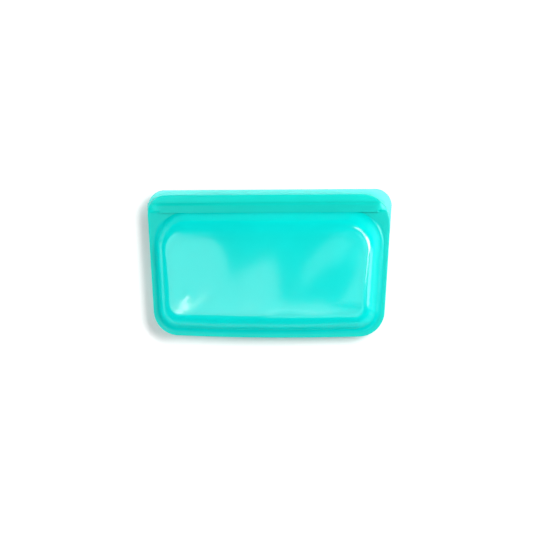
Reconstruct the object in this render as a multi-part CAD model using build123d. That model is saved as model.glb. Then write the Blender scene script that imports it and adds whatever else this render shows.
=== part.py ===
"""Reusable silicone food bag, lying closed and puffed on its rear wall.

The frame has X along the mouth, +Y from the bottom edge towards the mouth and +Z up, in millimetres.
The origin is the middle of the bag's outline on the surface that the bag lies on.

The bag is two moulded silicone halves bonded round the sides and the bottom. Each half has a raised
pouch wall, a flat border, a sloping shoulder at the mouth, a thick closure band and a thin pull lip.
The front band carries a tapered rib that presses between two rails on the rear band. Beyond the
ends of the bands the two halves are fused. The mouth parts turn about living hinges behind the
shoulders, and the middle of the front wall can be pressed in.
"""
from build123d import *
import math
import os

# ---------------------------------------------------------------- driving dimensions
mouth_width = 192.2          # across the rim at the lips, sharp corners
base_width = 177.5           # across the rim at the bottom edge, sharp corners
bag_height = 114.3           # bottom edge to the rear lip's edge
bottom_bow = 2.0             # how far the bottom edge bows out
rear_depth = 12.0            # rest face to the bond's middle plane
front_depth = 12.5           # bond's middle plane to the top of the front wall

wall = 1.2                   # silicone wall of the pouch, shoulders and lips
border_thickness = 1.3       # of each half's flat border
border_width = 4.5           # rim to the foot of the pouch, at the sides and the bottom
bond_thickness = 0.6         # cured seam between the two halves

rear_mouth_radius = 13.0     # corner radii of the rim at the mouth; the front half is rounder
front_mouth_radius = 20.0
rim_base_radius = 20.0
foot_mouth_radius = 26.0     # where the pouch leaves the border
foot_base_radius = 16.0
crown_mouth_radius = 20.0    # of the raised middle
crown_base_radius = 12.0

side_run = 7.0               # pouch foot to crown edge, seen from above, at the sides
bottom_run = 7.5             # the same at the bottom
front_shoulder_run = 9.5     # crown edge to closure band, on the front half
rear_shoulder_run = 15.5     # the same on the rear half, which slopes more gently
crown_round = 5.0            # rounding of the crown's edge
panel_border = 5.0           # crown edge to the part of the front wall that presses in
header_width = 2.6           # strip between that part and the mouth's hinge
shoulder_margin = 38.0       # rim's sharp mouth corner to the side of the part that lifts

closure_gap = 3.0            # between the inner faces of the two closed bands
band_width = 8.0             # closure band, along Y
band_thickness = 1.8
end_block_length = 10.5      # fused end of the closure, rim to band, at mid band
rib_tip = 0.8                # width of the flat along the rib's top
rib_flank_angle = 32.0       # flanks of the rib and of the groove, from upright
rib_tip_clearance = 0.6      # rib to the opposite band, and rails to theirs
rib_side_clearance = 0.3     # rib flank to rail flank, along Y
rail_tip = 0.8               # width of the flat along each rail's top
rail_back_run = 0.3          # how far a rail's back leans in over its height

rear_lip_length = 9.95       # band to the rear lip's edge
lip_setback = 4.2            # the front lip stops short, so each lip can be caught by itself
moving_gap = 0.3             # between faces that move apart

# ---------------------------------------------------------------- worked out from them
rim_top = bag_height / 2
rim_bottom = -bag_height / 2
slant = (mouth_width - base_width) / 2 / bag_height
middle = rear_depth                                  # height of the bond's middle plane
band_end = rim_top - rear_lip_length
band_start = band_end - band_width
closure_line = (band_start + band_end) / 2           # middle of the rib along Y
face_height = closure_gap / 2                        # a band's inner face, from the middle plane
band_half = mouth_width / 2 - slant * (rim_top - closure_line) - end_block_length
rib_height = closure_gap - rib_tip_clearance
flank_lean = math.tan(math.radians(rib_flank_angle))
band_back = face_height + band_thickness             # a band's outer face, from the middle plane
rear_crown_edge = band_start - rear_shoulder_run
rear_shoulder_angle = math.atan2(rear_depth - band_back, rear_shoulder_run)
hinge_line = rear_crown_edge - crown_round * math.tan(rear_shoulder_angle / 2)
shoulder_half = mouth_width / 2 - shoulder_margin
reach = mouth_width + bag_height                     # further than anything here

# what differs between the halves: depth, slope at the mouth, and the outline at the mouth
front_half = {
    "depth": front_depth, "shoulder_run": front_shoulder_run,
    "top": rim_top - lip_setback, "mouth_radius": front_mouth_radius,
}
rear_half = {
    "depth": rear_depth, "shoulder_run": rear_shoulder_run,
    "top": rim_top, "mouth_radius": rear_mouth_radius,
}


def half_width(y, inset):
    """Half the rim's width at y, less an inset measured square to its slanted side."""
    return base_width / 2 + (y - rim_bottom) * slant - inset * math.hypot(1, slant)


def outline(side_inset, bottom_inset, top, mouth_radius, base_radius):
    """Rounded trapezoid with a bowed bottom edge, set in from the rim's sides and bottom."""
    low = rim_bottom + bottom_inset
    corner = low + bottom_bow
    low_half = half_width(corner, side_inset)
    top_half = half_width(top, side_inset)
    face = make_face([
        Line((-low_half, corner), (-top_half, top)),
        Line((-top_half, top), (top_half, top)),
        Line((top_half, top), (low_half, corner)),
        ThreePointArc((low_half, corner), (0, low), (-low_half, corner)),
    ])
    face = fillet(face.vertices().sort_by(Axis.Y)[2:], mouth_radius)
    return fillet(face.vertices().sort_by(Axis.Y)[:2], base_radius)


def slab(face, low, high):
    """Straight prism on an outline, from one height to another."""
    return extrude(Pos(0, 0, low) * face, high - low, dir=(0, 0, 1))


def box(x, y, z):
    """Box between pairs of limits."""
    return Pos(sum(x) / 2, sum(y) / 2, sum(z) / 2) * Box(x[1] - x[0], y[1] - y[0], z[1] - z[0])


def rim(half):
    """Outline of a half's border and lip."""
    return outline(0, 0, half["top"], half["mouth_radius"], rim_base_radius)


def level_share(run, rise):
    """The wall's thickness measured level, on a face that runs in by run over rise."""
    return wall * math.hypot(run, rise) / rise


def mouth_slope(half):
    """How far the shoulder's slope would run if it went on down to the middle plane."""
    return half["shoulder_run"] * half["depth"] / (half["depth"] - band_back)


def foot(half, inner):
    """Outline where a half's pouch meets the middle plane, outside or inside the wall."""
    depth = half["depth"]
    side = level_share(side_run, depth) if inner else 0
    bottom = level_share(bottom_run, depth) if inner else 0
    mouth = level_share(mouth_slope(half), depth) if inner else 0
    return outline(
        border_width + side, border_width + bottom,
        band_start - half["shoulder_run"] + mouth_slope(half) - mouth,
        foot_mouth_radius - side, foot_base_radius - bottom,
    )


def bulge(half, inner):
    """Half a pouch as a solid on the middle plane: its outer shape, or its hollow."""
    depth = half["depth"]
    skin = wall if inner else 0
    share = (depth - skin) / depth
    side = level_share(side_run, depth) if inner else 0
    bottom = level_share(bottom_run, depth) if inner else 0
    mouth = level_share(mouth_slope(half), depth) if inner else 0
    crown = outline(
        border_width + side + side_run * share, border_width + bottom + bottom_run * share,
        band_start - half["shoulder_run"] + mouth_slope(half) * (1 - share) - mouth,
        crown_mouth_radius - skin, crown_base_radius - skin,
    )
    solid = loft([foot(half, inner), Pos(0, 0, depth - skin) * crown], ruled=True)
    return fillet(solid.faces().sort_by(Axis.Z)[-1].edges(), crown_round - skin)


def pouch_shell(half):
    """Half a pouch as a thin shell, from the bond upwards."""
    shell = bulge(half, inner=False) - bulge(half, inner=True)
    return shell & box((-reach, reach), (-reach, reach), (bond_thickness / 2, reach))


def closure_room():
    """The room of the moving closure and lips, with a gap round it."""
    ends = band_half + moving_gap
    return box((-ends, ends), (band_start - moving_gap, reach), (-reach, reach))


def shoulder_room():
    """The room of the shoulder that lifts, with a gap round it."""
    sides = shoulder_half + moving_gap
    return box((-sides, sides), (hinge_line - moving_gap, reach), (-reach, reach))


def fixed_part(shape):
    """What is left of a shape below the closure, clear of the moving mouth."""
    shape = shape & box((-reach, reach), (-reach, band_start), (-reach, reach))
    return shape - closure_room() - shoulder_room()


def pouch_wall(half):
    """Half a pouch without its lifting shoulder."""
    return fixed_part(pouch_shell(half))


def border(half):
    """Flat border round half a pouch, up to the fused ends of the closure."""
    ring = rim(half) - foot(half, inner=True)
    plate = slab(ring, bond_thickness / 2, bond_thickness / 2 + border_thickness)
    return fixed_part(plate - bulge(half, inner=False))


def perimeter_bond():
    """Cured seam under the borders and the feet of both pouch walls."""
    ring = rim(front_half) - foot(front_half, inner=True)
    return fixed_part(slab(ring, -bond_thickness / 2, bond_thickness / 2))


def panel_outline(growth):
    """Outline of the part of the front wall that presses in, grown by a gap."""
    return outline(
        border_width + side_run + panel_border - growth,
        border_width + bottom_run + panel_border - growth,
        hinge_line - header_width - moving_gap + growth,
        crown_mouth_radius - panel_border + growth,
        crown_base_radius - panel_border + growth,
    )


def front_side_wall():
    """Front pouch wall round the part that presses in."""
    return pouch_wall(front_half) - slab(panel_outline(moving_gap), front_depth / 2, reach)


def front_panel():
    """The raised middle of the front wall, which presses in."""
    return slab(panel_outline(0), front_depth - wall, front_depth)


def shoulder(half):
    """The straight part of a shoulder, cut from its half's shell."""
    sides = (-shoulder_half, shoulder_half)
    return pouch_shell(half) & box(sides, (hinge_line, band_start), (face_height, reach))


def closure_band():
    """Thick band along a half's mouth."""
    sides = (-band_half, band_half)
    return box(sides, (band_start, band_end), (face_height, band_back))


def end_block(side):
    """One fused end of the closure, side -1 at the left and +1 at the right."""
    ends = sorted((side * (band_half + moving_gap), side * reach))
    fused = slab(rim(front_half), 0, band_back) + slab(rim(rear_half), -band_back, 0)
    return fused & box(ends, (band_start, band_end), (-band_back, band_back))


def bar(points):
    """Straight bar as long as a band, with its section given as (y, height) points."""
    section = Plane.YZ * make_face(Polyline(*points, close=True))
    return Pos(-band_half, 0, 0) * extrude(section, 2 * band_half, dir=(1, 0, 0))


def locking_rib():
    """Tapered rib on the front band's inner face."""
    base = rib_tip / 2 + rib_height * flank_lean
    tip_height = face_height - rib_height
    return bar([
        (closure_line - base, face_height), (closure_line + base, face_height),
        (closure_line + rib_tip / 2, tip_height), (closure_line - rib_tip / 2, tip_height),
    ])


def channel_rail(side):
    """Rail on the rear band's inner face, side -1 towards the pouch and +1 towards the lips."""
    overlap = rib_height - rib_tip_clearance         # how deep the rib and the rails pass
    tip = rib_tip / 2 + overlap * flank_lean + rib_side_clearance
    root = tip - rib_height * flank_lean
    back = tip + rail_tip
    return bar([
        (closure_line + side * root, face_height),
        (closure_line + side * tip, face_height - rib_height),
        (closure_line + side * back, face_height - rib_height),
        (closure_line + side * (back + rail_back_run), face_height),
    ])


def lip(half):
    """Thin pull lip past the closure, cut clear of the fused ends."""
    sheet = slab(rim(half), face_height, face_height + wall)
    sheet = sheet & box((-reach, reach), (band_end, reach), (-reach, reach))
    for side in (-1, 1):
        ends = sorted((side * band_half, side * reach))
        sheet -= box(ends, (band_end - moving_gap, band_end + moving_gap), (-reach, reach))
    return sheet


# ---------------------------------------------------------------- both halves, modelled upwards
front = {
    "front_side_wall": front_side_wall(),
    "front_border": border(front_half),
    "front_panel": front_panel(),
    "front_shoulder": shoulder(front_half),
    "front_closure_band": closure_band(),
    "locking_rib": locking_rib(),
    "front_lip": lip(front_half),
    "perimeter_bond": perimeter_bond(),
    "end_block_left": end_block(-1),
    "end_block_right": end_block(1),
}
rear = {
    "rear_wall": pouch_wall(rear_half),
    "rear_border": border(rear_half),
    "rear_shoulder": shoulder(rear_half),
    "rear_closure_band": closure_band(),
    "channel_rail_inner": channel_rail(-1),
    "channel_rail_outer": channel_rail(1),
    "rear_lip": lip(rear_half),
}
parts = {name: Pos(0, 0, middle) * shape for name, shape in front.items()}
for name, shape in rear.items():
    parts[name] = Pos(0, 0, middle) * mirror(shape, Plane.XY)

os.makedirs("parts", exist_ok=True)
for name, shape in parts.items():
    export_step(shape, f"parts/{name}.step")
print("hinge line at y", round(hinge_line, 3), "and z 0 or", middle + front_depth)
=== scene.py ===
import math
import bpy
import numpy as np
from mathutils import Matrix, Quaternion, Vector


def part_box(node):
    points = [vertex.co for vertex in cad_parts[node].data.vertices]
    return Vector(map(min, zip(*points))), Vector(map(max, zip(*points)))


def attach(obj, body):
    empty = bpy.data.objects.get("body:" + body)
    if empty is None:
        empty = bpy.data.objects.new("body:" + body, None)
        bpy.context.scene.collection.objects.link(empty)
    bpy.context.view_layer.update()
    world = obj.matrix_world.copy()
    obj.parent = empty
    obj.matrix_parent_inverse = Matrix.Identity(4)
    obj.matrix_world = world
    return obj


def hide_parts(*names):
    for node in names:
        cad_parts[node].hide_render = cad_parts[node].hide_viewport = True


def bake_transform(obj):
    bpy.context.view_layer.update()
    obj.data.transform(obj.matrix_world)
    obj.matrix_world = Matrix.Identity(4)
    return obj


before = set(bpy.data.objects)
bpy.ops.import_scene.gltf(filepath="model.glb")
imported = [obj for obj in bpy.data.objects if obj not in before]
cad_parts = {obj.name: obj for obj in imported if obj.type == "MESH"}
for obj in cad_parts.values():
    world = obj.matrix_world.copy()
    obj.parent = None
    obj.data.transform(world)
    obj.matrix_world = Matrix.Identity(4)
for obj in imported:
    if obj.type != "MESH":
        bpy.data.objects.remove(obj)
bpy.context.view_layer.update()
print("frame loaded:", len(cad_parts), "nodes")

# Places that the frame gives, in metres
middle = (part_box("perimeter_bond")[0].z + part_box("perimeter_bond")[1].z) / 2
bondHalf = (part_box("perimeter_bond")[1].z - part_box("perimeter_bond")[0].z) / 2
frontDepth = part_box("front_panel")[1].z - middle
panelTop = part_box("front_panel")[1].y
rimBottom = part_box("rear_border")[0].y
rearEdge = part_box("rear_lip")[1].y
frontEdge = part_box("front_lip")[1].y
bandLow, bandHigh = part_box("front_closure_band")
rearBandLow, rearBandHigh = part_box("rear_closure_band")
frontLipLow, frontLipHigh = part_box("front_lip")
rearLipLow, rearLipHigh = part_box("rear_lip")
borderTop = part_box("front_border")[1].z
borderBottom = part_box("rear_border")[0].z
bandStart, bandEnd, bandHalf = bandLow.y, bandHigh.y, bandHigh.x

bag = {  # the outline in plan, which every piece follows
    "mouthWidth": 0.1922, "baseWidth": 0.1775,      # between the side lines, at the mouth and the bottom
    "bottomBow": 0.002,                             # how far the bottom edge bows out
    "rimBaseRadius": 0.020, "rearCorner": 0.013,
    "frontCornerRight": 0.022, "frontCornerLeft": 0.0145,
    "borderWidth": 0.0045,
    "bottomPoints": 46, "arcPoints": 26, "sidePoints": 34, "topPoints": 40,
}
slant = (bag["mouthWidth"] - bag["baseWidth"]) / 2 / (rearEdge - rimBottom)
squareness = math.hypot(1, slant)
mirror = np.array([-1, 1])


# Corner arcs of a rounded trapezoid's right half. The side is the line x = a + slant y, the bottom line
# rises by the slope s towards the corner, and each centre lies its radius inside both lines.
def corners(side, bottom, top, mouthRadius, baseRadius):
    a = bag["baseWidth"] / 2 - rimBottom * slant - side * squareness
    corner = rimBottom + bottom + bag["bottomBow"]
    cornerX = a + slant * corner
    s = 2 * bag["bottomBow"] / (cornerX + baseRadius)
    k = math.hypot(1, s)
    baseX = (a - baseRadius * squareness + slant * (corner - s * cornerX + baseRadius * k)) / (1 - slant * s)
    baseY = corner + s * (baseX - cornerX) + baseRadius * k
    mouthY = top - mouthRadius
    mouthX = a + slant * mouthY - mouthRadius * squareness
    return a, s, baseX, baseY, mouthX, mouthY


# Points on an arc: the centre plus the radius times the cosine and sine of each angle
def arcPoints(x, y, radius, first, last, steps):
    angle = np.linspace(first, last, steps)
    return np.column_stack([x + radius * np.cos(angle), y + radius * np.sin(angle)])


# Right half of an outline's bottom and base corner: y falls with the square of x to the middle, then an
# arc turns up to the side
def lowerHalf(side, bottom, top, mouthRadius, baseRadius):
    a, s, baseX, baseY, mouthX, mouthY = corners(side, bottom, top, mouthRadius, baseRadius)
    k = math.hypot(1, s)
    endX, endY = baseX + baseRadius * s / k, baseY - baseRadius / k
    x = endX * np.linspace(0, 1, bag["bottomPoints"], endpoint=False)
    y = endY - s / (2 * endX) * (endX ** 2 - x ** 2)
    arc = arcPoints(baseX, baseY, baseRadius, math.atan(s) - math.pi / 2, -math.atan(slant), bag["arcPoints"])
    return np.concatenate([np.column_stack([x, y]), arc])


# A whole rounded trapezoid, anticlockwise from the middle of the bottom: bottom, arc, side, arc and top,
# then the same mirrored
def ring(side, bottom, top, mouthRadius, baseRadius):
    mouthX, mouthY = corners(side, bottom, top, mouthRadius, baseRadius)[4:]
    lower = lowerHalf(side, bottom, top, mouthRadius, baseRadius)
    arc = arcPoints(mouthX, mouthY, mouthRadius, -math.atan(slant), math.pi / 2, bag["arcPoints"])
    t = np.linspace(0, 1, bag["sidePoints"] + 2)[1:-1, None]
    sides = lower[-1] + (arc[0] - lower[-1]) * t
    t = np.linspace(0, 1, bag["topPoints"] + 1)[1:, None]
    tops = arc[-1] * np.concatenate([1 - t, np.ones_like(t)], axis=1)
    right = np.concatenate([lower, sides, arc, tops])
    return np.concatenate([right, right[-2:0:-1] * mirror])


# How far out an outline's side is at y: the slanted line, then the mouth corner's arc
def sideX(y, side, top, mouthRadius):
    a, s, baseX, baseY, mouthX, mouthY = corners(side, 0.0, top, mouthRadius, bag["rimBaseRadius"])
    turn = mouthY - mouthRadius * slant / squareness
    arc = mouthX + np.sqrt(np.maximum(mouthRadius ** 2 - (y - mouthY) ** 2, 0))
    return np.where(y < turn, a + slant * y, arc)


# An outline from the bands on the left side, down round the bottom and up to the bands on the right
def openRing(side, bottom, top, leftRadius, rightRadius, baseRadius):
    halves = []
    for mouthRadius in (leftRadius, rightRadius):
        lower = lowerHalf(side, bottom, top, mouthRadius, baseRadius)
        y = np.linspace(lower[-1, 1], bandStart, bag["sidePoints"] + bag["arcPoints"])[1:]
        halves.append(np.concatenate([lower, np.column_stack([sideX(y, side, top, mouthRadius), y])]))
    return np.concatenate([halves[0][:0:-1] * mirror, halves[1]])


# A closed mesh from rows by columns of points, with quads between neighbours. Closed rows join the last
# row to the first, and open rows end in a pole. Open columns end in a cap. Faces are turned outwards by
# the sign of the volume they hold.
def surface(name, points, closedRows=True, closedColumns=False, sharpAngle=42):
    rows, columns = points.shape[:2]
    index = np.arange(rows * columns).reshape(rows, columns)
    thisRow = index if closedRows else index[:-1]
    nextRow = np.roll(index, -1, axis=0) if closedRows else index[1:]
    if closedColumns:
        quads = np.stack([thisRow, np.roll(thisRow, -1, 1), np.roll(nextRow, -1, 1), nextRow], axis=-1)
    else:
        quads = np.stack([thisRow[:, :-1], thisRow[:, 1:], nextRow[:, 1:], nextRow[:, :-1]], axis=-1)
    faces = quads.reshape(-1, 4).tolist()
    vertices = points.reshape(-1, 3)
    if not closedRows:
        first, last = len(vertices), len(vertices) + 1
        vertices = np.concatenate([vertices, [points[0].mean(axis=0), points[-1].mean(axis=0)]])
        around = np.roll(index, -1, axis=1)
        faces += np.stack([np.full(columns, first), around[0], index[0]], axis=-1).tolist()
        faces += np.stack([np.full(columns, last), index[-1], around[-1]], axis=-1).tolist()
    if not closedColumns:
        faces += [index[:, 0].tolist(), index[::-1, -1].tolist()]
    mesh = bpy.data.meshes.new(name)
    mesh.from_pydata(vertices, [], faces)
    mesh.update()
    mesh.calc_loop_triangles()
    triangles = np.empty(len(mesh.loop_triangles) * 3, np.int32)
    mesh.loop_triangles.foreach_get("vertices", triangles)
    p, q, r = np.moveaxis(vertices[triangles.reshape(-1, 3)], 1, 0)
    if np.einsum("ij,ij->i", p, np.cross(q, r)).sum() < 0:
        mesh.flip_normals()
    mesh.shade_smooth()
    mesh.set_sharp_from_angle(angle=math.radians(sharpAngle))
    piece = bpy.data.objects.new(name, mesh)
    bpy.context.scene.collection.objects.link(piece)
    return piece


# 0 to 1 with level ends: 3 t squared less 2 t cubed
def smoothstep(t):
    t = np.clip(t, 0, 1)
    return t * t * (3 - 2 * t)


# Bakes the piece's place into its mesh
def follow(piece):
    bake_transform(piece)


# Reads the piece's points, which nothing then uses, and bakes its place into its mesh
def followMouth(piece):
    flat = np.empty(len(piece.data.vertices) * 3, np.float32)
    piece.data.vertices.foreach_get("co", flat)
    x, y, z = flat.reshape(-1, 3).astype(float).T
    follow(piece)


grain = {  # what all the silicone shares
    "index": 1.45, "specular": 0.3, "coatIndex": 1.85, "coatRoughness": 0.11,
    "scatterShare": 0.35, "scatterReach": 0.004, "scatterColour": (0.3, 1.0, 1.0),
    "cloudScale": 28.0,
    "grainScale": 900.0, "grainHeight": 0.000008,
    "waveScale": 60.0, "waveHeight": 0.00006, "roughnessSpread": 0.05,
    "paintedShadeBand": (0.0, 0.001), "paintedShadeLevel": 1.0,   # painted shade: colours are darker by this factor under these two heights
}
silicone = {  # look of each kind of piece; shine is two heights and the coat's weight at each
    "frontSilicone": {
        "colour": (0.0, 0.93, 0.88), "deep": (0.0, 0.90, 0.85), "tint": (0.05, 0.95, 0.93),
        "clear": 0.16, "through": 0.30, "gloss": 0.22, "shine": (0.0222, 0.0237, 0.04, 1.0),
        # painted shade: the colour darkens to 0.86 of itself below these heights, at the foot of the front walls
        "paintedShadeBand": (0.0135, 0.0185), "paintedShadeLevel": 0.86,
    },
    "rearSilicone": {
        "colour": (0.0, 0.93, 0.88), "deep": (0.0, 0.90, 0.85), "tint": (0.34, 0.96, 0.94),
        "clear": 0.30, "through": 0.35, "gloss": 0.30, "shine": (0.0, 0.012, 0.6, 0.3),
    },
    "lipSilicone": {
        "colour": (0.05, 0.92, 0.86), "deep": (0.03, 0.88, 0.83), "tint": (0.74, 0.97, 0.96),
        "clear": 0.60, "through": 0.45, "gloss": 0.35, "shine": (0.009, 0.014, 0.4, 0.5),
    },
    "sealSilicone": {
        "colour": (0.0, 0.79, 0.70), "deep": (0.0, 0.76, 0.67), "tint": (0.05, 0.94, 0.92),
        "clear": 0.16, "through": 0.30, "gloss": 0.35, "shine": (0.012, 0.016, 0.08, 0.12),
    },
    "rimSilicone": {
        "colour": (0.0, 0.80, 0.71), "deep": (0.0, 0.77, 0.69), "tint": (0.05, 0.94, 0.92),
        "clear": 0.14, "through": 0.30, "gloss": 0.35, "shine": (0.012, 0.016, 0.08, 0.12),
    },
    "bondSilicone": {
        "colour": (0.0, 0.80, 0.74), "deep": (0.0, 0.76, 0.70), "tint": (0.25, 0.92, 0.90),
        "clear": 0.20, "through": 0.40, "gloss": 0.40, "shine": (0.011, 0.013, 0.2, 0.2),
    },
}


# Pigmented silicone: a shiny skin over a body that scatters light back and through, partly clear, with painted
# shade low on the walls where a material asks for it
def siliconeMaterial(name):
    values = {**grain, **silicone[name]}
    material = bpy.data.materials.new(name)
    material.use_nodes = True
    nodes, links = material.node_tree.nodes, material.node_tree.links
    nodes.clear()

    def node(kind, **inputs):
        made = nodes.new(kind)
        for key, value in inputs.items():
            made.inputs[key].default_value = value
        return made

    def mapRange(source, *limits):
        made = nodes.new("ShaderNodeMapRange")
        for key, value in zip(("From Min", "From Max", "To Min", "To Max"), limits):
            made.inputs[key].default_value = value
        links.new(source, made.inputs["Value"])
        return made

    def bump(texture, distance):
        made = node("ShaderNodeBump", Strength=1.0, Distance=distance)
        links.new(texture.outputs["Fac"], made.inputs["Height"])
        return made

    place = nodes.new("ShaderNodeTexCoord").outputs["Object"]
    split = nodes.new("ShaderNodeSeparateXYZ")
    links.new(place, split.inputs["Vector"])
    cloud = node("ShaderNodeTexNoise", Scale=values["cloudScale"], Detail=3.0, Roughness=0.5)
    fine = node("ShaderNodeTexNoise", Scale=values["grainScale"], Detail=2.0)
    wave = node("ShaderNodeTexNoise", Scale=values["waveScale"], Detail=1.0)
    for texture in (cloud, fine, wave):
        links.new(place, texture.inputs["Vector"])

    ramp = nodes.new("ShaderNodeValToRGB")      # cloudy colour, with painted shade darkening it low on the walls by the foot
    for element, position, colour in zip(ramp.color_ramp.elements, (0.35, 0.65), ("deep", "colour")):
        element.position, element.color = position, (*values[colour], 1)
    links.new(cloud.outputs["Fac"], ramp.inputs["Fac"])
    # painted shade: a factor below 1 under the given heights, which darkens the colour low on the walls
    low = mapRange(split.outputs["Z"], *values["paintedShadeBand"], values["paintedShadeLevel"], 1.0)
    low.interpolation_type = "SMOOTHSTEP"
    shade = nodes.new("ShaderNodeVectorMath")
    shade.operation = "SCALE"
    links.new(ramp.outputs["Color"], shade.inputs[0])
    links.new(low.outputs["Result"], shade.inputs["Scale"])

    fineBump, waveBump = bump(fine, values["grainHeight"]), bump(wave, values["waveHeight"])
    links.new(fineBump.outputs["Normal"], waveBump.inputs["Normal"])
    spread = values["roughnessSpread"] / 2
    rough = mapRange(wave.outputs["Fac"], 0.0, 1.0, values["gloss"] - spread, values["gloss"] + spread)
    shine = mapRange(split.outputs["Z"], *values["shine"])

    body = node("ShaderNodeBsdfPrincipled", IOR=values["index"])
    body.inputs["Specular IOR Level"].default_value = values["specular"]
    body.inputs["Coat Roughness"].default_value = values["coatRoughness"]
    body.inputs["Coat IOR"].default_value = values["coatIndex"]
    body.inputs["Subsurface Weight"].default_value = values["scatterShare"]
    body.inputs["Subsurface Radius"].default_value = values["scatterColour"]
    body.inputs["Subsurface Scale"].default_value = values["scatterReach"]
    links.new(shade.outputs["Vector"], body.inputs["Base Color"])
    links.new(rough.outputs["Result"], body.inputs["Roughness"])
    links.new(shine.outputs["Result"], body.inputs["Coat Weight"])
    links.new(waveBump.outputs["Normal"], body.inputs["Normal"])
    links.new(waveBump.outputs["Normal"], body.inputs["Coat Normal"])
    through = nodes.new("ShaderNodeBsdfTranslucent")
    links.new(shade.outputs["Vector"], through.inputs["Color"])
    clear = node("ShaderNodeBsdfTransparent", Color=(*values["tint"], 1))
    scatter = node("ShaderNodeMixShader", Fac=values["through"])
    see = node("ShaderNodeMixShader", Fac=values["clear"])
    output = nodes.new("ShaderNodeOutputMaterial")
    for source, target in ((body.outputs[0], scatter.inputs[1]), (through.outputs[0], scatter.inputs[2]),
                           (scatter.outputs[0], see.inputs[1]), (clear.outputs[0], see.inputs[2]),
                           (see.outputs[0], output.inputs["Surface"])):
        links.new(source, target)
    return material


materials = {name: siliconeMaterial(name) for name in silicone}
print("materials made:", ", ".join(materials))


# Gives a piece its material, and lets it stand for its CAD nodes
def finish(piece, material, slot, *nodes):
    piece.data.materials.append(materials[material])
    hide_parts(*nodes)
    return piece


pouch = {  # the raised walls of both halves
    "wall": 0.0012,
    "sideRun": 0.007, "bottomRun": 0.0075,                  # foot to crown edge in plan
    "frontShoulderRun": 0.0095, "rearShoulderRun": 0.0155,  # bands to crown edge in plan
    "footMouthRadius": 0.026, "footBaseRadius": 0.016,
    "crownMouthRadius": 0.020, "crownBaseRadius": 0.012,
    "crownRound": 0.0055,       # how far the crown's rounding reaches from its edge
    "slopeShare": 0.8, "levelShare": 0.95,      # the most of the slope and of the level that it takes
    "footRound": 0.0028,        # how far the foot's hollow fillet reaches
    "fadeStart": 0.011, "fadeLength": 0.009,    # where that fillet runs out, before the bands
    "seamInset": 0.006,         # crown edge to the part that presses in
    "pressReach": 0.8,          # share of that part over which the press builds up
    "filletSteps": 7, "slopeSteps": 9, "roundSteps": 18, "levelSteps": 4,
    "frontRings": 44, "rearRings": 30,
}
puffed = {  # how the front half is puffed
    "swell": 0.0022,            # height added in the middle
    "ripple": 0.00013,          # unevenness
    "rippleTurns": (70, 190),   # least and most radians to a metre
    "rippleWaves": 7, "rippleSeed": 7,
    "pucker": (-0.0605, -0.0240, 0.0038, 0.00028),      # a small raised spot: place, size and height
}
frontHalf = (frontDepth, pouch["frontShoulderRun"])
rearHalf = (middle, pouch["rearShoulderRun"])
crownEdge = bandStart - pouch["frontShoulderRun"]
crownMiddle = (crownEdge + rimBottom + bag["borderWidth"] + pouch["bottomRun"]) / 2
leastTurns, mostTurns = puffed["rippleTurns"]
rippleWaves = np.random.default_rng(puffed["rippleSeed"]).uniform(
    [leastTurns, 0, 0], [mostTurns, 2 * np.pi, 2 * np.pi], (puffed["rippleWaves"], 3))


# Height added to a wall: a product of two domes over the crown, each half a parabola and half a fourth
# power, a few sine waves at fixed random directions, and one bell-shaped spot, all faded out down the side
# walls by the square of the rise
def puff(x, y, rise):
    wide = bag["mouthWidth"] / 2 - bag["borderWidth"] - pouch["sideRun"]
    long = (crownEdge - rimBottom - bag["borderWidth"] - pouch["bottomRun"]) / 2
    u, v = np.clip((x / wide) ** 2, 0, 1), np.clip(((y - crownMiddle) / long) ** 2, 0, 1)
    dome = (1 - (u + u * u) / 2) * (1 - (v + v * v) / 2)
    waves = sum(np.sin(turns * (x * np.cos(way) + y * np.sin(way)) + phase) for turns, way, phase in rippleWaves)
    spotX, spotY, size, height = puffed["pucker"]
    spot = np.exp(-((x - spotX) ** 2 + (y - spotY) ** 2) / (2 * size ** 2))
    return (puffed["swell"] * dome + puffed["ripple"] * waves + height * spot) * rise ** 2


# Points from start up to but not at end, on the quadratic curve that the corner pulls
def bezier(start, corner, end, steps):
    t = np.linspace(0, 1, steps, endpoint=False)[:, None, None]
    return (1 - t) ** 2 * start + 2 * t * (1 - t) * corner + t ** 2 * end


# Points in even steps on the straight line between two, with or without its end
def straight(start, end, steps, endpoint=False):
    return start + (end - start) * np.linspace(0, 1, steps, endpoint=endpoint)[:, None, None]


# The points moved by one wall thickness along the unit normals, which are the cross product of the grid's
# steps along and across
def thinned(points):
    along = np.roll(points, -1, axis=1) - np.roll(points, 1, axis=1)
    normal = np.cross(along, np.gradient(points, axis=0))
    return points - pouch["wall"] * normal / np.maximum(np.linalg.norm(normal, axis=-1, keepdims=True), 1e-12)


# 1 along the sides and the bottom, falling to 0 where the wall runs up to the closure
def footFade(y):
    return 1 - smoothstep((y - bandStart + pouch["fadeStart"]) / pouch["fadeLength"])


# The foot's outline at the mouth, where the line from crown edge to band meets the middle plane
def footTop(depth, shoulderRun):
    return bandStart - shoulderRun + shoulderRun * depth / (depth - (bandHigh.z - middle))


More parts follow.
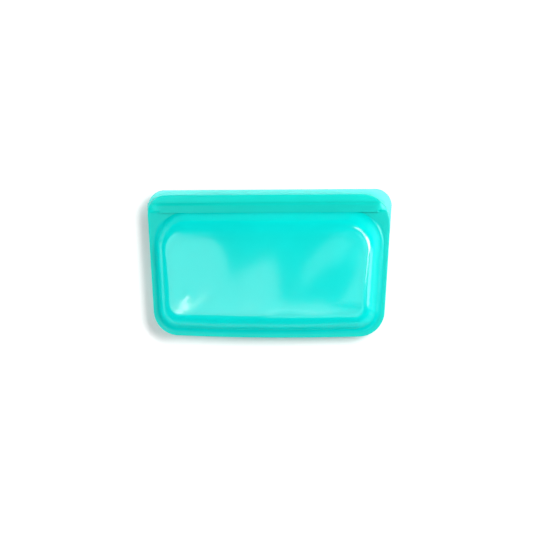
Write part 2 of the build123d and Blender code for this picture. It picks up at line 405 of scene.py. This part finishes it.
# Outer and inner rows of a half's wall, from the foot up the slope, round the crown's edge and level to
# the seam. The slope is a straight line from foot to crown, cut off at the closure band. The crown's edge
# and the foot's hollow fillet are quadratic curves between points set back from the corners. The inner
# rows lie one wall thickness inside. Heights count from the middle plane.
def wallColumns(depth, shoulderRun):
    inset, inward = bag["borderWidth"], pouch["seamInset"]
    side, low = inset + pouch["sideRun"], inset + pouch["bottomRun"]
    foot = ring(inset, inset, footTop(depth, shoulderRun), pouch["footMouthRadius"], pouch["footBaseRadius"])
    crown = ring(side, low, bandStart - shoulderRun, pouch["crownMouthRadius"], pouch["crownBaseRadius"])
    seam = ring(side + inward, low + inward, panelTop, pouch["crownMouthRadius"] - inward,
                pouch["crownBaseRadius"] - inward / 2)
    foot, crown, seam = (np.column_stack([line, np.full(len(line), z)])
                         for line, z in ((foot, 0.0), (crown, depth), (seam, depth)))
    cut = np.maximum(foot[:, 1] - bandStart, 0) / np.maximum(foot[:, 1] - crown[:, 1], 0.001)
    up, level = crown - foot, seam - crown
    upLength, levelLength = (np.linalg.norm(line, axis=1)[:, None] for line in (up, level))
    start = foot + up * np.maximum(cut, bondHalf / depth)[:, None]
    base = foot + up * np.maximum(cut, (borderTop - middle) / depth)[:, None]
    slopeLength = np.linalg.norm(crown - base, axis=1)[:, None]
    before = crown - up / upLength * np.minimum(pouch["crownRound"], pouch["slopeShare"] * slopeLength)
    after = crown + level / levelLength * np.minimum(pouch["crownRound"], pouch["levelShare"] * levelLength)
    top = np.concatenate([bezier(before, crown, after, pouch["roundSteps"]),
                          straight(after, seam, pouch["levelSteps"], endpoint=True)])

    reach = (pouch["footRound"] * footFade(base[:, 1]))[:, None]
    outward = -up * np.array([1, 1, 0])
    outward /= np.maximum(np.linalg.norm(outward, axis=1), 1e-9)[:, None]
    edgeOfFoot = base + outward * reach
    lowest = edgeOfFoot * np.array([1, 1, 0])
    lowest[:, 2] = np.clip(cut * depth, bondHalf, bandLow.z - middle)
    risen = base + up / upLength * reach
    outer = np.concatenate([lowest[None], bezier(edgeOfFoot, base, risen, pouch["filletSteps"]),
                            straight(risen, before, pouch["slopeSteps"]), top])
    plain = np.concatenate([straight(start, before, pouch["slopeSteps"]), top])
    for rows in (outer, plain):
        rows[..., 2] += puff(rows[..., 0], rows[..., 1], np.clip(rows[..., 2] / depth, 0, 1))
    return outer, thinned(plain)


# Rings that shrink from the seam towards the middle of the crown, without the middle itself
def crownRings(seam, rings):
    centre = np.array([0, crownMiddle, 0])
    return centre + (seam * np.array([1, 1, 0]) - centre) * np.linspace(1, 0, rings, endpoint=False)[:, None, None]


# The front half's side walls, shoulder and crown edge, as one moulded skin up to the pressed crown
def frontWall():
    outer, inner = wallColumns(*frontHalf)
    skin = np.concatenate([outer, inner[::-1]]) + np.array([0, 0, middle])
    piece = finish(surface("frontWall", skin, closedColumns=True), "frontSilicone", "front_silicone",
                   "front_side_wall", "front_shoulder")
    followMouth(piece)


# The raised middle of the front wall, inside the seam
def frontCrown():
    rings = pouch["frontRings"]
    outer, inner = (crownRings(rows[-1], rings) for rows in wallColumns(*frontHalf))
    outer[..., 2] = middle + frontDepth + puff(outer[..., 0], outer[..., 1], 1.0)
    inner[..., 2] = middle + frontDepth + puff(inner[..., 0], inner[..., 1], 1.0) - pouch["wall"]
    skin = np.concatenate([outer[::-1], inner])
    piece = finish(surface("frontCrown", skin, closedRows=False, closedColumns=True), "frontSilicone",
                   "front_silicone", "front_panel")
    follow(piece)


# The rear half: side walls and shoulder as on the front, and a flat wall that the bag lies on
def rearWall():
    sheets = []
    for rows, level in zip(wallColumns(*rearHalf), (middle, middle - pouch["wall"])):
        rows[..., 2] = np.minimum(rows[..., 2], level)
        flat = crownRings(rows[-1], pouch["rearRings"])[1:]
        flat[..., 2] = rows[-1, 0, 2]
        sheets.append(np.concatenate([rows, flat]) * np.array([1, 1, -1]) + np.array([0, 0, middle]))
    skin = np.concatenate([sheets[0][::-1], sheets[1]])
    piece = finish(surface("rearWall", skin, closedRows=False, closedColumns=True), "rearSilicone",
                   "rear_silicone", "rear_wall", "rear_shoulder")
    followMouth(piece)


border = {  # the flat borders and the seam between them
    "round": 0.00055,           # outer edge
    "innerRound": 0.0002,       # edge beside the seam
    "bondInset": 0.00018,       # how far the seam sits back
    "clearance": 0.00003,       # between border and CAD height
    "tuck": 0.0018, "mouthTuck": 0.0024,        # overlap with the wall's foot, round the bag and at the mouth
}


# Closed section of a bar, anticlockwise from the low corner: a rectangle whose four corners are quarter
# circles of the given radii, low-low, high-low, high-high and low-high
def roundedBox(low, high, radii, steps=5):
    (u0, v0), (u1, v1) = low, high
    centres = [(u0 + radii[0], v0 + radii[0]), (u1 - radii[1], v0 + radii[1]),
               (u1 - radii[2], v1 - radii[2]), (u0 + radii[3], v1 - radii[3])]
    parts = []
    for quarter, ((u, v), r) in enumerate(zip(centres, radii)):
        first = np.pi + quarter * np.pi / 2
        parts.append(arcPoints(u, v, r, first, first + np.pi / 2, steps if r > 0 else 1))
    return np.concatenate(parts)


# A flat plate between the rim and the foot of the pouch, carried round the sides and the bottom. The
# section is a rectangle with rounded outer edges, and each point lies between rim and foot by its share.
def borderPlate(name, low, high, radii, top, cornerRadii, half, outerInset=0.0):
    width = bag["borderWidth"]
    near, far = (openRing(width + extra, width + extra, footTop(*half) - extra, pouch["footMouthRadius"] - extra,
                          pouch["footMouthRadius"] - extra, pouch["footBaseRadius"] - extra)
                 for extra in (border["tuck"] - pouch["footRound"], border["mouthTuck"]))
    fade = footFade(near[:, 1:])
    inner = near * fade + far * (1 - fade)
    outer = openRing(0.0, 0.0, top, *cornerRadii, bag["rimBaseRadius"])
    section = roundedBox((outerInset, low), (width, high), radii)
    flat = outer + (inner - outer) * (section[:, 0] / width)[:, None, None]
    flat[..., 1] = np.minimum(flat[..., 1], bandStart)
    level = np.broadcast_to(section[:, 1][:, None, None], flat.shape[:2] + (1,))
    return surface(name, np.concatenate([flat, level], axis=-1))


# Both halves' flat borders and the cured seam between them, which sits back a little
def borders():
    r, small, clearance = border["round"], border["innerRound"], border["clearance"]
    rearCorners = (bag["rearCorner"], bag["rearCorner"])
    frontCorners = (bag["frontCornerLeft"], bag["frontCornerRight"])
    front = borderPlate("frontBorder", middle + bondHalf, borderTop - clearance, (small, 0, 0, r), frontEdge,
                        frontCorners, frontHalf)
    rear = borderPlate("rearBorder", borderBottom + clearance, middle - bondHalf, (r, 0, 0, small), rearEdge,
                       rearCorners, rearHalf)
    bond = borderPlate("bondSeam", middle - bondHalf, middle + bondHalf, (0, 0, 0, 0), frontEdge, frontCorners,
                       frontHalf, border["bondInset"])
    finish(front, "rimSilicone", "front_silicone", "front_border")
    finish(rear, "lipSilicone", "rear_silicone", "rear_border")
    finish(bond, "bondSilicone", "bond_silicone", "perimeter_bond")
    for piece in (front, rear, bond):
        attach(piece, "bag")


ends = {  # the fused ends of the closure
    "ySteps": 25, "outSteps": 10, "edgeSteps": 5,
    "startEase": 0.002,         # from the border's height to the band's, along y
    "seamRise": 0.0008,         # half of the step between the halves at the outer edge
    "lipEase": 0.0026,          # from the band's height to the lip's
}


# How far the closure stands above the lips at y: full height, eased to nothing at the lips
def lipEase(y):
    return 1 - smoothstep((y - bandEnd + ends["lipEase"]) / ends["lipEase"])


# A fused end of the closure. Each section lies across the bag and runs from the bands' end out to the rim,
# where the front half's corner is rounder than the rear half's. Its thickness eases from the bands' to the
# borders' with the cube of the way out, and to the lips' along y. Its outer edges are quarter circles.
def endBlock(name, side, corner, node):
    r = border["round"]
    y = np.linspace(bandStart, bandEnd, ends["ySteps"])
    along = (y - bandStart) / (bandEnd - bandStart)
    out = np.linspace(0, 1, ends["outSteps"])[:, None]
    start = 1 - (1 - smoothstep((y - bandStart) / ends["startEase"])) * smoothstep(out * 4)
    thick = (1 - out ** 3) * lipEase(y) * start
    turn = np.linspace(0, np.pi / 2, ends["edgeSteps"] + 1)[1:, None]
    rows = []
    for half, edgeX, band, plate, lip in (
            (-1, sideX(y, 0.0, rearEdge, bag["rearCorner"]), rearBandLow.z, borderBottom, rearLipLow.z),
            (1, sideX(y, 0.0, frontEdge, corner), bandHigh.z, borderTop, frontLipHigh.z)):
        thin = plate + (lip - plate) * smoothstep(along)
        z = thin + (band - thin) * thick
        x = bandHalf + (edgeX - r - bandHalf) * out
        x = np.concatenate([x, edgeX - r + r * np.sin(turn), edgeX[None], edgeX[None]])
        level = np.full_like(y, middle)[None]
        z = np.concatenate([z, z[-1] - half * r * (1 - np.cos(turn)), level + half * ends["seamRise"], level])
        rows.append(np.stack([side * x, np.broadcast_to(y, x.shape), z], axis=-1))
    points = np.concatenate([rows[0], rows[1][::-1]])
    piece = finish(surface(name, points), "sealSilicone", "bond_silicone", node)
    piece.data.materials.append(materials["lipSilicone"])       # the rear half shows pale
    centre = np.empty(len(piece.data.polygons) * 3)
    piece.data.polygons.foreach_get("center", centre)
    rearFaces = (centre.reshape(-1, 3)[:, 2] <= middle + 1e-6).astype(np.int32)
    piece.data.polygons.foreach_set("material_index", rearFaces)
    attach(piece, "bag")


seal = {  # closure bands, rib and rails
    "bandSteps": 30, "lengthSteps": 181,
    "tip": 0.0008, "flank": math.tan(math.radians(32)), "clearance": 0.0003,
    "railTip": 0.0008, "railBack": 0.0003, "ease": 0.00012,
}


# A bar along x: one closed section of (y, z) points, carried from end to end of the bands
def barAlong(name, section):
    x = np.linspace(-bandHalf, bandHalf, seal["lengthSteps"])
    points = np.empty((len(section), len(x), 3))
    points[..., 0] = x
    points[..., 1:] = section[:, None, :]
    return surface(name, points)


# The thick bands along both halves' mouths, whose outer face eases down to the lip
def closureBands():
    y = np.linspace(bandStart, bandEnd, seal["bandSteps"])
    front = np.column_stack([y, frontLipHigh.z + (bandHigh.z - frontLipHigh.z) * lipEase(y)])
    front = np.concatenate([[(bandStart, bandLow.z), (bandEnd, bandLow.z)], front[::-1]])
    rear = np.column_stack([y, rearLipLow.z - (rearLipLow.z - rearBandLow.z) * lipEase(y)])
    rear = np.concatenate([rear, [(bandEnd, rearBandHigh.z), (bandStart, rearBandHigh.z)]])
    for name, section, node, body in (("frontBand", front, "front_closure_band", "front_mouth"),
                                      ("rearBand", rear, "rear_closure_band", "rear_mouth")):
        piece = finish(barAlong(name, section), "sealSilicone", "seal_silicone", node)
        followMouth(piece)


# The rib and its two rails: trapezoid sections whose flanks lean by the flank angle, with eased edges
def sealBars():
    line, ease = (bandStart + bandEnd) / 2, seal["ease"]
    ribLow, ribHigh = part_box("locking_rib")[0].z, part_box("locking_rib")[1].z
    railLow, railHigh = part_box("channel_rail_inner")[0].z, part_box("channel_rail_inner")[1].z
    half = seal["tip"] / 2
    base = half + (ribHigh - ribLow) * seal["flank"]
    rib = np.array([(-base, ribHigh), (-half - ease, ribLow + ease), (-half + ease, ribLow),
                    (half - ease, ribLow), (half + ease, ribLow + ease), (base, ribHigh)]) + np.array([line, 0])
    piece = finish(barAlong("lockingRib", rib), "sealSilicone", "seal_silicone", "locking_rib")
    followMouth(piece)
    tip = half + (railHigh - ribLow) * seal["flank"] + seal["clearance"]
    root = tip - (railHigh - railLow) * seal["flank"]
    back = tip + seal["railTip"]
    rail = np.array([(root, railLow), (tip - ease, railHigh - ease), (tip + ease, railHigh),
                     (back - ease, railHigh), (back, railHigh - ease), (back + seal["railBack"], railLow)])
    for name, node, side in (("innerRail", "channel_rail_inner", -1), ("outerRail", "channel_rail_outer", 1)):
        section = rail * np.array([side, 1]) + np.array([line, 0])
        piece = finish(barAlong(name, section), "sealSilicone", "seal_silicone", node)
        followMouth(piece)


lip = {"arcSteps": 30, "lineSteps": 69, "flatSteps": 7, "edgeSteps": 9}


# A thin sheet from the band to the lip's outline: each column runs level from a point on the band's edge
# to the outline, round a half-circle edge, and back underneath
def lipSheet(name, low, high, top, leftRadius, rightRadius):
    halves = []
    for radius in (leftRadius, rightRadius):
        mouthX, mouthY = corners(0.0, 0.0, top, radius, bag["rimBaseRadius"])[4:]
        first = math.asin(np.clip((bandEnd - mouthY) / radius, -1, 1))
        arc = arcPoints(mouthX, mouthY, radius, first, np.pi / 2, lip["arcSteps"])
        x = mouthX * np.linspace(1, 0, lip["lineSteps"] + 1)[1:]
        rim = np.concatenate([arc, np.column_stack([x, np.full_like(x, top)])])
        out = np.concatenate([(arc - (mouthX, mouthY)) / radius, np.tile([0.0, 1.0], (len(x), 1))])
        halves.append((rim, out))
    rim, out = (np.concatenate([halves[1][i], (halves[0][i] * mirror)[-2::-1]]) for i in (0, 1))
    r = (high - low) / 2
    inner = rim - out * r
    inner[:, 1] = np.maximum(inner[:, 1], bandEnd)
    start = np.column_stack([inner[:, 0], np.full(len(rim), bandEnd)])
    flat = straight(start, inner, lip["flatSteps"], endpoint=True)
    turn = np.linspace(np.pi / 2, -np.pi / 2, lip["edgeSteps"] + 2)[1:-1]
    curl = inner + out * r * np.cos(turn)[:, None, None]
    curl[..., 1] = np.maximum(curl[..., 1], bandEnd)
    plan = np.concatenate([flat, curl, flat[::-1]])
    z = np.concatenate([np.full(len(flat), high), (low + high) / 2 + r * np.sin(turn), np.full(len(flat), low)])
    z = np.broadcast_to(z[:, None, None], plan.shape[:2] + (1,))
    return surface(name, np.concatenate([plan, z], axis=-1))


# The pull lips: the front one stops short of the rear one and has rounder corners
def lips():
    front = lipSheet("frontLip", frontLipLow.z, frontLipHigh.z, frontEdge,
                     bag["frontCornerLeft"], bag["frontCornerRight"])
    rear = lipSheet("rearLip", rearLipLow.z, rearLipHigh.z, rearEdge, bag["rearCorner"], bag["rearCorner"])
    finish(front, "rimSilicone", "front_silicone", "front_lip")
    finish(rear, "lipSilicone", "rear_silicone", "rear_lip")
    followMouth(front)
    followMouth(rear)


frontWall()
frontCrown()
rearWall()
print("walls made")
borders()
endBlock("leftEnd", -1, bag["frontCornerLeft"], "end_block_left")
endBlock("rightEnd", 1, bag["frontCornerRight"], "end_block_right")
print("borders and fused ends made")
closureBands()
sealBars()
lips()
print("closure and lips made")

studio = {
    "floorSize": 3.0, "floorDrop": 0.0001, "floorColour": (0.97, 0.97, 0.97, 1), "floorRoughness": 0.9,
    "floorSpecular": 0.1, "world": 0.03,
    "cameraTilt": 9.0, "cameraDistance": 1.3, "frameWidth": 0.411, "sensor": 36.0,
    "shiftX": -0.0030, "shiftY": -0.0056,
}
lights = {  # place, what it points at, turn about its own axis in degrees, width, height, watts, seen in shine
    "key": ((0.66, 0.24, 0.84), (0.0, 0.0, 0.0), 0, 0.50, 0.40, 8.8, True),
    "arcStrip": ((0.52, 0.50, 0.80), (0.0, 0.0, 0.0), 0, 0.85, 0.20, 4.6, True),
    "leftHaze": ((-0.714, 0.027, 1.62), (-0.714, 0.027, 0.0), 33.0, 0.70, 1.30, 4.5, True),
    "rightHaze": ((0.27, 0.10, 1.62), (0.27, 0.10, 0.0), -12.0, 0.60, 0.75, 1.4, True),
    "lowHaze": ((0.20, -0.80, 1.60), (0.20, -0.80, 0.0), 0, 1.00, 0.96, 3.2, True),
    "leftFill": ((-1.10, -0.10, 0.26), (0.0, 0.0, 0.0), 0, 0.90, 0.30, 8.6, False),
    "lowFill": ((-0.10, -1.10, 0.26), (0.0, 0.0, 0.0), 0, 1.20, 0.30, 4.0, False),
    "rightFill": ((0.94, -0.08, 0.34), (0.0, 0.0, 0.0), 0, 0.25, 0.50, 1.2, True),
    "spot": ((-0.497, -0.219, 1.50), (-0.066, -0.030, 0.02), 0, 0.05, 0.12, 0.26, True),
}


# A plain pale floor, just under the bag
def floor():
    half = studio["floorSize"] / 2
    z = -studio["floorDrop"]
    mesh = bpy.data.meshes.new("floor")
    mesh.from_pydata([(-half, -half, z), (half, -half, z), (half, half, z), (-half, half, z)], [], [(0, 1, 2, 3)])
    plane = bpy.data.objects.new("floor", mesh)
    bpy.context.scene.collection.objects.link(plane)
    paint = bpy.data.materials.new("floorPaint")
    paint.use_nodes = True
    shader = paint.node_tree.nodes["Principled BSDF"]
    shader.inputs["Base Color"].default_value = studio["floorColour"]
    shader.inputs["Roughness"].default_value = studio["floorRoughness"]
    shader.inputs["Specular IOR Level"].default_value = studio["floorSpecular"]
    mesh.materials.append(paint)


# A soft rectangular light pointed at a place, and turned about its own axis
def lamp(name, place, target, turn, width, height, watts, inShine):
    data = bpy.data.lights.new(name, "AREA")
    data.shape, data.size, data.size_y, data.energy = "RECTANGLE", width, height, watts
    made = bpy.data.objects.new(name, data)
    made.location = place
    made.visible_glossy = inShine
    aim = (Vector(target) - Vector(place)).to_track_quat("-Z", "Y")
    made.rotation_euler = (aim @ Quaternion((0, 0, 1), math.radians(turn))).to_euler()
    bpy.context.scene.collection.objects.link(made)


# Looks down on the bag, tilted a little from its right-hand side
def camera():
    data = bpy.data.cameras.new("camera")
    made = bpy.data.objects.new("camera", data)
    tilt, distance = math.radians(studio["cameraTilt"]), studio["cameraDistance"]
    target = Vector((0, (rearEdge + rimBottom) / 2, middle))
    made.location = target + Vector((math.sin(tilt), 0, math.cos(tilt))) * distance
    made.rotation_euler = (0, tilt, 0)
    data.sensor_width = studio["sensor"]
    data.lens = studio["sensor"] * distance / studio["frameWidth"]
    data.shift_x, data.shift_y = studio["shiftX"], studio["shiftY"]
    bpy.context.scene.collection.objects.link(made)
    bpy.context.scene.camera = made


floor()
for name, values in lights.items():
    lamp(name, *values)
camera()
world = bpy.data.worlds.new("studio")
world.use_nodes = True
world.node_tree.nodes["Background"].inputs["Color"].default_value = (1, 1, 1, 1)
world.node_tree.nodes["Background"].inputs["Strength"].default_value = studio["world"]
bpy.context.scene.world = world
bpy.context.scene.view_settings.view_transform = "Standard"
print("studio made")
